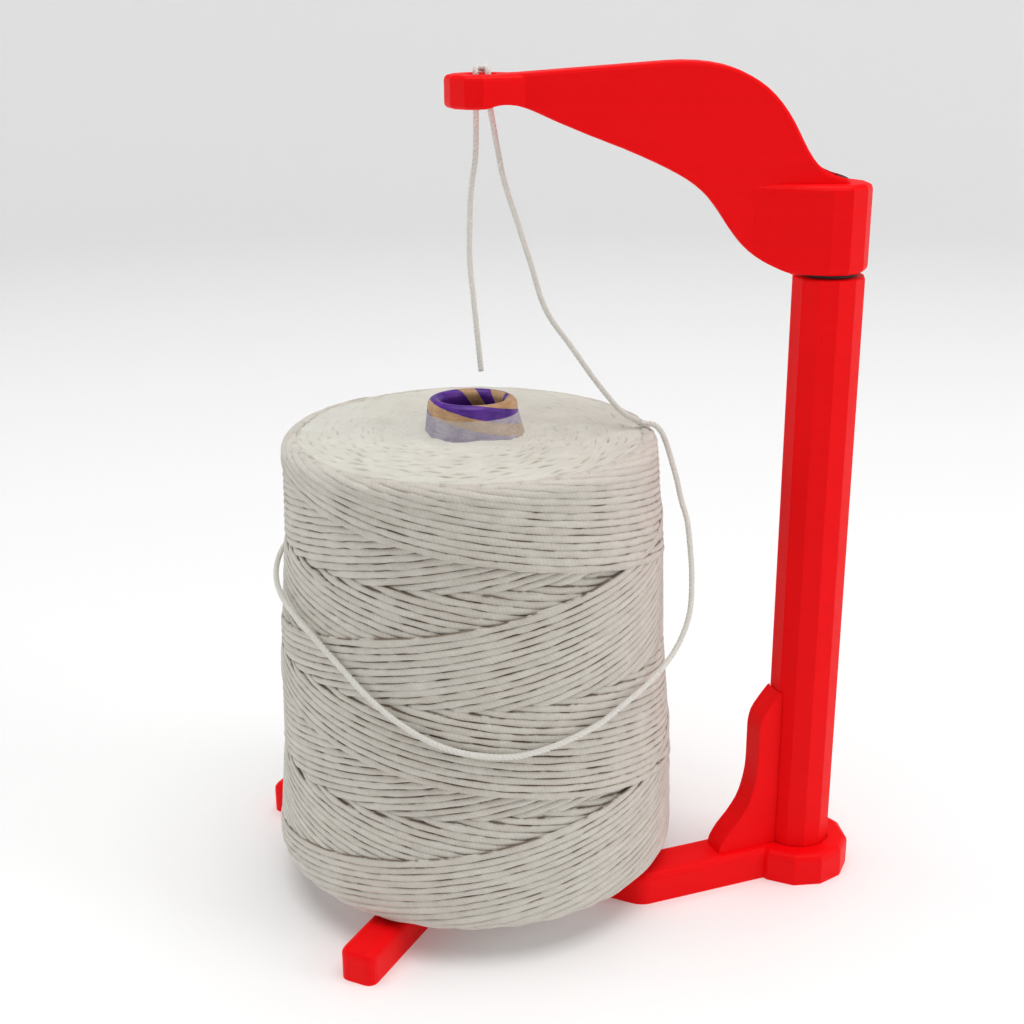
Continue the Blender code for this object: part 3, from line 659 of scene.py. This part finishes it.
def end_face(name, level, sign, inner, outer, rows, columns, seed):
    """A closed ring whose outer side has staggered crests and slots."""
    draw = np.random.default_rng(seed)
    radius, degrees = np.meshgrid(np.linspace(outer, inner, rows),
                                  np.arange(columns) * 360.0 / columns, indexing="ij")
    angle = np.radians(degrees)
    x, y = radius * np.sin(angle), -radius * np.cos(angle)
    ring_place = (outer - radius) / (growth * ring_growth) - degrees / 360.0 + 0.25
    ring = np.round(ring_place)
    across = ring_place - ring
    along = (ring + degrees / 360.0) * 360.0 / crest_step
    cell = np.floor(along).astype(int) % cells
    part = along - np.floor(along) - 0.5
    shown = draw.uniform(size=cells) < slot_chance
    strength = np.where(shown, draw.uniform(0.35, 1.0, cells), faint_slot)[cell]
    strength = strength * (0.3 + 0.7 * (0.5 + 0.5 * np.cos(angle - slot_bearing)) ** 1.5)
    middle = draw.uniform(-0.2, 0.2, cells)[cell]
    slant = draw.uniform(-0.1, 0.7, cells)[cell]
    drift = draw.uniform(-0.22, 0.22, cells)[cell]
    long_slot = draw.uniform(0.18, 0.36, cells)[cell]
    off_slot = across - drift - slant * part
    slot = strength * np.exp(-((part - middle) / long_slot) ** 2 - (off_slot / slot_sharpness) ** 2)
    slot = slot * np.clip((radius - inner) / 0.02, 0.1, 1.0)
    swell = (field(x, y, seed + 1, 60.0, 260.0) * swell_broad
             + field(x, y, seed + 2, 400.0, 1100.0) * swell_fine)
    crests = furrow * np.cos(math.tau * across * furrows_per_ring) + crest_high * strength * np.exp(
        -((off_slot - crest_away) / crest_wide) ** 2 - ((part - middle) / crest_long) ** 2)
    over_rim = np.clip((radius - outer + rim_reach) / rim_reach, 0.0, 1.0) ** 2 * rim_drop
    lip = lip_high + lip_high * field(x, y, seed + 3, 120.0, 320.0)
    at_cone = np.exp(-((radius - inner) / lip_reach) ** 2) * lip
    height = level + sign * (swell + crests - slot * slot_depth - over_rim + at_cone)
    grid = np.stack([x, y, height], axis=-1)
    back = grid[[-1, 0]].copy()
    back[..., 2] = level - sign * back_depth
    grid = np.concatenate([grid, back]).reshape(-1, 3)
    quads = end_face_quads(rows + 2, columns, sign > 0)
    mesh = bpy.data.meshes.new(name)
    mesh.from_pydata(grid.tolist(), [], quads.tolist())
    mesh.shade_smooth()
    mottling = np.concatenate([field(x, y, seed + 4, 200.0, 600.0), np.zeros((2, columns))])
    # Painted shade: the finish darkens each slot by its depth, strongest toward slot_bearing
    store(mesh, tint=0.25 + 0.25 * mottling, crease=np.concatenate([slot, np.ones((2, columns))]))
    made = placed(name, mesh)
    made.data.materials.append(face_twine)
    print(name, "triangles", len(quads) * 2)
    return made


top_crest = ring_high - turn_rise / 360.0 * long_turnaround
low_crest = ring_low + turn_rise / 360.0 * turnaround
top_radius = float(package_radius(np.array([top_crest]), twine_high)[0])
low_radius = float(package_radius(np.array([low_crest]), twine_high)[0])
top_face = end_face("wound_top_face", level=top_crest + 0.0007, sign=1.0, inner=0.0159,
                    outer=top_radius - 0.0002, rows=150, columns=640, seed=11)
low_face = end_face("wound_bottom_face", level=low_crest - 0.0003, sign=-1.0, inner=0.0262,
                    outer=low_radius - 0.0006, rows=60, columns=320, seed=12)
print("crest radii", round(top_radius * 1000, 1), round(low_radius * 1000, 1), "mm")

# %% [markdown]
# Under the last layer lie all the earlier ones. They show only in the deepest gaps, dark brown with shade, so
# one plain body, spun from the same outline and set a little inside it, stands for them all; its dark brown
# is painted shade.

# %% Core of the package
cone_top = 0.1809
cone_foot = 0.0123
cone_nose_radius = 0.0156
cone_taper = math.tan(math.radians(3.5))


def cone_radius(height):
    return cone_nose_radius + (cone_top - height) * cone_taper


def spun(name, profile, steps):
    """Turn a closed profile about the upright axis in edit mode, as by hand."""
    bpy.ops.object.select_all(action="DESELECT")
    mesh = bpy.data.meshes.new(name)
    mesh.from_pydata([(radius, 0.0, height) for radius, height in profile],
                     [(index, (index + 1) % len(profile)) for index in range(len(profile))], [])
    made = placed(name, mesh)
    bpy.context.view_layer.objects.active = made
    made.select_set(True)
    bpy.ops.object.mode_set(mode="EDIT")
    bpy.ops.mesh.select_all(action="SELECT")
    bpy.ops.mesh.spin(steps=steps, angle=math.tau, center=(0.0, 0.0, 0.0), axis=(0.0, 0.0, 1.0))
    bpy.ops.mesh.select_all(action="SELECT")
    bpy.ops.mesh.remove_doubles(threshold=0.00001)
    bpy.ops.mesh.normals_make_consistent(inside=False)
    bpy.ops.object.mode_set(mode="OBJECT")
    made.data.shade_smooth()
    made.select_set(False)
    return made


spin_steps = 96
core_inset, core_shoulder, core_end, core_play = 0.0044, 0.003, 0.001, 0.0002
core_heights = np.linspace(low_crest + core_shoulder, top_crest - core_shoulder, 24)
core_skin = package_radius(core_heights, core_inset)
core_low, core_high = low_crest + core_end, top_crest - core_end
core_profile = [(cone_radius(core_low) + core_play, core_low)]
core_profile += [(float(radius), float(height)) for radius, height in zip(core_skin, core_heights)]
core_profile += [(cone_radius(core_high) + core_play, core_high)]
package_core = spun("wound_core", core_profile, spin_steps)
# Painted shade: the core is coloured dark brown, though its twine is the same cream as the top layer
core_shade_finish, core_shader, core_place = new_finish("packed_twine_shade", 0.95, gloss=0.1)
speckle = core_place.noise(300.0, 3.0, 0.6)
feed(core_shader, "Base Color", speckle.blend((0.2, 0.13, 0.08), (0.42, 0.32, 0.22)))
emboss(core_shader, core_place.noise(500.0, 3.0, 0.6), 0.0004)
package_core.data.materials.append(core_shade_finish)
print("core triangles", sum(len(face.vertices) - 2 for face in package_core.data.polygons))

# %% [markdown]
# The winding turns with the paper cone, so each of its pieces rides on that body. The plain package and
# the plain helix of the solid model stand for the same twine, so these pieces take their place.

# %% Join the package to the model
for piece in (rising_turns, falling_turns, top_face, low_face, package_core):
    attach(piece, "cone")
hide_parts("yarn_package")
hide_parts("yarn_turns")
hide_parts("yarn_turns")
print("the package's five pieces ride on the cone")

# %% [markdown]
# ## Loose twine
# Three stretches of the same twine are loose. One runs from the rim of the package up to the eye, one lies
# down the right side and round the front, and the tail goes over the tip and hangs above the cone's
# mouth. A plain tube would look like wire. A loose twine shows its plies, so each stretch is three thin
# tubes wound round the route.

# %% Twisted strand along a route
plies = 3
ply_pitch = 0.0046
ply_offset = 0.00045
ply_radius = 0.0006
ply_sides = 6
ply_unevenness = 0.07
twist_wobble = 1.2
strand_step = 0.00046
route_steps = 16
# Painted shade on the inner sides of the plies, where they press together
loose_crease = 0.4


def smooth_run(route, steps):
    """The same smooth curve as in the solid model: through each point of the route."""
    places = np.array(route)
    places = np.vstack([2 * places[0] - places[1], places, 2 * places[-1] - places[-2]])
    run = []
    for index in range(1, len(places) - 2):
        before, start, end, after = places[index - 1:index + 3]
        bend = 2 * before - 5 * start + 4 * end - after
        twist = 3 * start - before - 3 * end + after
        for step in range(steps):
            t = step / steps
            run.append(0.5 * (2 * start + (end - before) * t + bend * t ** 2 + twist * t ** 3))
    run.append(places[-2])
    return np.array(run)


def even_run(points, step):
    """The same curve with points at even steps, and its length."""
    passed = np.concatenate([[0.0], np.cumsum(np.linalg.norm(np.diff(points, axis=0), axis=1))])
    wanted = np.linspace(0.0, passed[-1], int(round(passed[-1] / step)) + 1)
    even = [np.interp(wanted, passed, points[:, axis]) for axis in range(3)]
    return np.stack(even, axis=1), passed[-1]


def twisted_strand(name, node, route, seed, lead_in=0.0):
    """Three plies along a route, which replace its plain solid.

    The lead-in starts the drawn twine a little earlier, so that it meets the stretch before it.
    """
    run, length = even_run(smooth_run(route, route_steps), strand_step)
    if lead_in:
        run = np.vstack([run[0] - (run[1] - run[0]) * lead_in / strand_step, run])
    ahead = unit(np.gradient(run, axis=0))
    side = np.zeros_like(run)
    side[0] = np.cross(ahead[0], (0.3, 1.0, 0.2))
    for index in range(1, len(run)):
        side[index] = side[index - 1] - ahead[index] * np.dot(side[index - 1], ahead[index])
    side = unit(side)
    lift = np.cross(ahead, side)
    passed = np.linspace(0.0, length, len(run))
    wobble = wave(passed * 90.0, seed) * twist_wobble
    lines = []
    for ply in range(plies):
        phase = passed / ply_pitch * math.tau + wobble + ply * math.tau / plies
        away = np.cos(phase)[:, None] * side + np.sin(phase)[:, None] * lift
        thick = ply_radius * (1.0 + ply_unevenness * wave(passed * 700.0, seed + 10 + ply))
        tint = 0.3 + 0.3 * wave(passed * 300.0, seed + 20 + ply)
        lines.append((run + away * ply_offset, away, thick, thick, tint, loose_crease))
    made = lay_tubes(name, lines, ply_sides, loose_finish)
    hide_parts(node)
    print(name, "is", round(length * 1000), "mm long")
    return made


# %% [markdown]
# The routes are those of the solid model. The first stretch is attached to no body. The laid stretch
# turns with the cone, and the tail goes with the head, so the twine parts at the rim when the cone turns.
# A piece can bend across one joint only, and two lie between the cone and the head, so the twine parts at
# the rim when the cone turns.

# %% Lead the strands
free_route = ((0.0078, 0.0026, 0.2790), (0.0101, 0.0030, 0.2653), (0.0124, 0.0036, 0.2543),
              (0.0171, 0.0044, 0.2394), (0.0209, 0.0050, 0.2273), (0.0260, 0.0058, 0.2114),
              (0.0351, 0.0066, 0.1979), (0.0444, 0.0066, 0.1848), (0.0527, 0.0060, 0.1752),
              (0.0591, 0.0051, 0.1717))
laid_route = ((0.0602, 0.0049, 0.1712), (0.0638, 0.0042, 0.1710), (0.0663, 0.0036, 0.1690),
              (0.0682, 0.0030, 0.1652), (0.0704, 0.0014, 0.1585), (0.0722, -0.0008, 0.1525),
              (0.0739, -0.0030, 0.1454), (0.0759, -0.0055, 0.1390), (0.0769, -0.0080, 0.1316),
              (0.0777, -0.0110, 0.1218), (0.0776, -0.0140, 0.1117), (0.0766, -0.0172, 0.1065),
              (0.0743, -0.0207, 0.1010), (0.0709, -0.0247, 0.0960), (0.0663, -0.0305, 0.0922),
              (0.0604, -0.0391, 0.0899), (0.0523, -0.0497, 0.0878), (0.0445, -0.0569, 0.0847),
              (0.0342, -0.0638, 0.0822), (0.0241, -0.0684, 0.0803), (0.0144, -0.0711, 0.0798),
              (0.0015, -0.0724, 0.0816), (-0.0099, -0.0717, 0.0852), (-0.0214, -0.0687, 0.0911),
              (-0.0309, -0.0645, 0.0976), (-0.0396, -0.0590, 0.1047), (-0.0484, -0.0517, 0.1110),
              (-0.0562, -0.0430, 0.1152), (-0.0636, -0.0306, 0.1180), (-0.0686, -0.0162, 0.1200),
              (-0.0704, -0.0010, 0.1220), (-0.0690, 0.0140, 0.1240), (-0.0641, 0.0288, 0.1265),
              (-0.0563, 0.0417, 0.1295), (-0.0462, 0.0525, 0.1325))
tail_route = ((0.0072, 0.0022, 0.2798), (0.0072, 0.0023, 0.2850), (0.0072, 0.0023, 0.2895),
              (0.0071, 0.0028, 0.2909), (0.0069, 0.0040, 0.2917), (0.0064, 0.0057, 0.2915),
              (0.0051, 0.0069, 0.2913), (0.0038, 0.0057, 0.2915), (0.0033, 0.0040, 0.2917),
              (0.0032, 0.0028, 0.2909), (0.0031, 0.0023, 0.2895), (0.0031, 0.0022, 0.2780),
              (0.0027, 0.0021, 0.2636), (0.0010, 0.0018, 0.2510), (0.0003, 0.0015, 0.2306),
              (0.0016, 0.0012, 0.2145), (0.0037, 0.0008, 0.1911))

led_twine = twisted_strand("led_twine", "free_strand", free_route, 41)
laid_twine = twisted_strand("laid_twine", "laid_strand", laid_route, 42,
                            lead_in=0.001)
hanging_tail = twisted_strand("hanging_tail", "tail_strand", tail_route, 43)
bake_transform(led_twine)
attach(laid_twine, "cone")
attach(hanging_tail, "head")

# %% [markdown]
# ## Paper cone
# The cone is wound from strips of kraft and purple paper, and its nose is rolled inwards so that twine
# slides off it. A closed profile is spun round the axis. The stripes follow a helix, so they come from
# the height and the angle of each point, which the UV map carries: U in degrees and V in millimetres.

# %% Shape of the paper cone
paper_wall = 0.0014
roll_radius = 0.0024
roll_high = 0.1795
roll_steps = 14
nose_shift = 0.0006
nose_tilt = 0.0005
nose_low, nose_reach = 0.168, 0.011
# The worn paper stands out low on the right: between these heights, round this angle in degrees
bulge_low, bulge_high, bulge_fade = 0.1655, 0.1782, 0.0085
bulge_bearing, bulge_spread, bulge_out = 80.0, 42.0, 0.0024


def paper_profile():
    """The closed outline in order: foot, inner wall, turned-in flap, roll, and down the outside."""
    roll_middle = cone_radius(roll_high) - roll_radius
    outline = [(cone_radius(cone_foot), cone_foot), (cone_radius(cone_foot) - paper_wall, cone_foot)]
    outline += [(cone_radius(height) - paper_wall, height) for height in (0.06, 0.12, 0.165, 0.1735)]
    flap = roll_middle - roll_radius
    outline += [(flap + 0.0007, 0.1748), (flap + 0.0001, 0.1758)]
    outline += [(roll_middle + roll_radius * math.cos(angle), roll_high + roll_radius * math.sin(angle))
                for angle in (math.pi * (1.0 - step / roll_steps) for step in range(roll_steps + 1))]
    outline += [(cone_radius(height), height) for height in
                (0.1782, 0.1768, 0.1754, 0.1740, 0.1720, 0.1700, 0.1680, 0.1650, 0.12, 0.06)]
    return outline


paper = spun("paper_cone_striped", paper_profile(), spin_steps)
for corner in paper.data.vertices:
    share = max(0.0, min(1.0, (corner.co.z - nose_low) / nose_reach))
    corner.co.x += nose_shift * share
    corner.co.z -= nose_tilt * share * corner.co.y / cone_nose_radius
    reach = math.hypot(corner.co.x, corner.co.y)
    on_outside = reach > cone_radius(corner.co.z) - paper_wall / 2
    if on_outside and bulge_low < corner.co.z < bulge_high:
        from_bulge = math.degrees(math.atan2(corner.co.x, -corner.co.y)) - bulge_bearing
        low_share = min(1.0, max(0.0, (bulge_high - corner.co.z) / bulge_fade))
        bulge = bulge_out * low_share * math.exp(-(from_bulge / bulge_spread) ** 2) / reach
        corner.co.x *= 1.0 + bulge
        corner.co.y *= 1.0 + bulge
print("paper cone faces", len(paper.data.polygons))

# %% [markdown]
# The paper runs over the rolled nose and down inside it, so the map has to follow it there: past the top
# of the roll V goes on by the length of the bend. A flag marks the faces that look at the axis, because
# the inside shows other strips than the outside.

# %% Map of the paper
roll_middle = cone_radius(roll_high) - roll_radius
paper_uv = paper.data.uv_layers.new(name="paper")
for face in paper.data.polygons:
    middle = math.degrees(math.atan2(face.center.x, -face.center.y))
    for loop in face.loop_indices:
        place = paper.data.vertices[paper.data.loops[loop].vertex_index].co
        degrees = math.degrees(math.atan2(place.x, -place.y))
        degrees += 360.0 * round((middle - degrees) / 360.0)
        height_on_paper = place.z
        out_of_middle = math.hypot(place.x - nose_shift, place.y) - roll_middle
        if place.z > roll_high:
            bend_angle = math.atan2(place.z - roll_high, out_of_middle)
            height_on_paper = roll_high + roll_radius * bend_angle
        elif out_of_middle < 0.0:
            height_on_paper = roll_high + roll_radius * math.pi + (roll_high - place.z)
        paper_uv.data[loop].uv = (degrees, height_on_paper * 1000.0)
inner_flag = paper.data.attributes.new("inside", "FLOAT", "FACE")
left_limit, right_limit = 0.6, 0.0
turned_in = []
for face in paper.data.polygons:
    outward = Vector((face.center.x, face.center.y, 0.0)).normalized()
    limit = left_limit if face.center.x < 0.0 else right_limit
    turned_in.append(float(face.normal.dot(outward) < limit))
inner_flag.data.foreach_set("value", turned_in)
print("faces that look at the axis", int(sum(turned_in)))

# %% [markdown]
# Two strips run round the cone as a helix, kraft and purple. Where twine has rubbed, below a ragged line,
# the colours are pale and dusty. A picture would be one way to do it. A colour ramp on height plus angle
# gives the same edges at any distance, and noise makes them ragged.

# %% Striped paper finish
kraft, kraft_bright = (0.38, 0.20, 0.09), (0.62, 0.40, 0.22)
kraft_worn, kraft_pale = (0.42, 0.33, 0.255), (0.58, 0.48, 0.40)
purple, purple_bright = (0.05, 0.008, 0.19), (0.13, 0.03, 0.34)
purple_worn, purple_pale = (0.31, 0.27, 0.37), (0.50, 0.48, 0.54)
dust_colour = (0.66, 0.63, 0.6)
no_kraft, all_kraft = (0.0,) * 3, (1.0,) * 3
# Millimetres of height: one repeat of the stripes, their rise for a degree, and where they start
stripe_repeat, stripe_slope, stripe_start = 24.48, 0.068, 174.5
# The lowest stripe sags round this angle: degrees, spread in degrees, millimetres
sag_bearing, sag_spread, sag_depth = -75.0, 32.0, 1.5
inner_start, inner_slant = 183.7, 3.5
worn_below = 177.3
outside_stops = [(0.0, all_kraft), (0.1755, no_kraft), (0.38, all_kraft), (0.68, no_kraft)]
inside_stops = [(0.0, no_kraft), (0.011, all_kraft), (0.28, no_kraft), (0.322, all_kraft),
                (0.418, no_kraft), (0.493, all_kraft), (0.57, no_kraft)]


def strips(share, stops):
    """1 where the strip is kraft and 0 where it is purple, with hard edges."""
    ramp = share.node("ShaderNodeValToRGB", {"stops": stops, "hard_stops": True}, Fac=share)
    return share.out(ramp)


striped, striped_shader, paper_place = new_finish("striped_paper", 0.5, gloss=0.35)
paper_map = uv_wire(paper_place, "paper")
degrees, height_mm, _ = paper_map.parts()
inside = attribute(paper_place, "inside")
ragged = (paper_place.noise(260.0, 3.0, 0.6) - 0.5) * 0.5
from_sag = (degrees - sag_bearing) / sag_spread
sag = (from_sag * from_sag * -1.0).exponential() * sag_depth
outside_share = (height_mm + degrees * stripe_slope + sag + ragged - stripe_start) / stripe_repeat
outside_kraft = strips(outside_share.fraction(), outside_stops)
inside_share = (degrees + (height_mm - inner_start) * inner_slant + ragged * 4.0) / 360.0
inside_kraft = strips(inside_share.fraction(), inside_stops)
is_kraft = inside_kraft * inside + outside_kraft * (1.0 - inside)
worn = (ragged * 1.2 + worn_below - height_mm).step(-0.15, 0.15) * (1.0 - inside)
streaks = paper_map.stretched((0.06, 1.6, 1.0)).noise(1.0, 4.0, 0.7)
grain = paper_place.noise(900.0, 3.0, 0.6)
blotches = paper_place.noise(140.0, 3.0, 0.6).step(0.35, 0.7)
bright = (streaks.step(0.35, 0.75) * 0.6 + blotches * 0.6).clamp()
dust = paper_place.noise(2200.0, 2.0, 0.6).step(0.5, 0.75)
vivid = is_kraft.blend(bright.blend(purple, purple_bright), bright.blend(kraft, kraft_bright))
dull = is_kraft.blend(bright.blend(purple_worn, purple_pale), bright.blend(kraft_worn, kraft_pale))
dull = (dust * 0.5).blend(dull, dust_colour)
feed(striped_shader, "Base Color", worn.blend(vivid, dull))
feed(striped_shader, "Roughness", worn * 0.35 + grain * 0.2 + 0.3)
paper_bump = 0.00012
emboss(striped_shader, grain * 0.4 + streaks * 0.5 + is_kraft * 0.6, paper_bump, 0.7)
paper.data.materials.append(striped)
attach(paper, "cone")
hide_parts("paper_cone")
print("striped paper has", len(striped.node_tree.nodes), "nodes")

# %% [markdown]
# ## Printed plastic
# The stand is printed in red filament. Its walls are built from thin layers, so they show fine level
# lines, and its flat tops are filled with beads laid side by side on the diagonal. Both patterns come from
# the place and the normal of the surface, and they only tilt the surface by a hair.

# %% Red print
red_deep = (0.86, 0.001, 0.0025)
red_bright = (0.99, 0.003, 0.006)
layer_height = 0.0002
bead_width = 0.00045
print_bump = 0.00003


def printed_finish(name):
    """Printed plastic: level lines on its walls, diagonal beads on its flats, faint uneven gloss."""
    made, shader, place = new_finish(name, 0.45, gloss=0.09)
    across, away, upward = place.parts()
    normal = place.out(place.node("ShaderNodeNewGeometry"), "Normal")
    up_share = normal.parts()[2]
    flat = up_share.maths("ABSOLUTE", up_share).step(0.9, 0.99)
    layers = (upward * (math.tau / layer_height)).sine()
    beads = ((across + away) * (math.tau / bead_width / math.sqrt(2.0))).sine()
    broad = place.noise(24.0, 3.0, 0.55)
    bands = place.stretched((3.0, 3.0, 260.0)).noise(1.0, 2.0, 0.5)
    pimples = place.noise(1500.0, 2.0, 0.5)
    tone = (broad * 0.6 + bands * 0.5 + layers * 0.06 + beads * flat * 0.06 - 0.1).clamp()
    feed(shader, "Base Color", tone.blend(red_deep, red_bright))
    feed(shader, "Roughness", bands * 0.16 + pimples * 0.1 + 0.33)
    lines = layers * (1.0 - flat) * 0.5 + beads * flat * 0.5
    emboss(shader, lines + bands * 1.6 + pimples * 0.5 + broad * 2.0, print_bump, 0.6)
    return made


def dress(finish, *names):
    """Give carried pieces of the solid model a finish."""
    for name in names:
        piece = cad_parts[name]
        piece.data.materials.clear()
        piece.data.materials.append(finish)


dress(printed_finish("red_print"), "base_frame", "column", "head_arm", "cone_peg")
print("printed pieces dressed")

# %% [markdown]
# ## Metal and washers
# Screws, inserts and washers are turned or stamped, so their finish has fine rings about the column's
# axis. Black oxide is rough and dark, zinc plating is bright with a faint mottle, and nylon is moulded.

# %% Small hardware
column_axis = 0.121
ring_bump = 0.00002
# Each finish: colour, second colour, roughness, metallic share, width of a ring in metres, its pieces
hardware = {
    "black_steel": ((0.02, 0.02, 0.022), (0.045, 0.043, 0.04), 0.42, 0.8, 0.0003,
                    ("pivot_screw", "pivot_washer")),
    "zinc_steel": ((0.66, 0.67, 0.68), (0.5, 0.51, 0.53), 0.3, 1.0, 0.0003, ("column_screw",)),
    "brass_metal": ((0.72, 0.5, 0.2), (0.55, 0.36, 0.13), 0.28, 1.0, 0.0002,
                    ("foot_insert", "pivot_insert")),
    "black_nylon": ((0.018, 0.018, 0.019), (0.035, 0.035, 0.036), 0.55, 0.0, 0.0005,
                    ("slip_washer",)),
}


def turned_finish(name, colour, second, roughness, metallic, ring_width):
    """A turned or moulded surface with fine rings about the column's axis."""
    made, shader, place = new_finish(name, roughness, metallic)
    across, away, upward = place.parts()
    reach = (across - column_axis) * (across - column_axis) + away * away
    rings = (reach.power(0.5) * (math.tau / ring_width)).sine()
    mottle = place.noise(700.0, 3.0, 0.6)
    feed(shader, "Base Color", (mottle + rings * 0.08).clamp().blend(colour, second))
    feed(shader, "Roughness", mottle * 0.25 + rings * 0.04 + (roughness - 0.1))
    emboss(shader, rings * 0.5 + mottle * 0.6, ring_bump, 0.5)
    return made


for finish_name, (*looks, pieces) in hardware.items():
    dress(turned_finish(finish_name, *looks), *pieces)
print("hardware dressed")
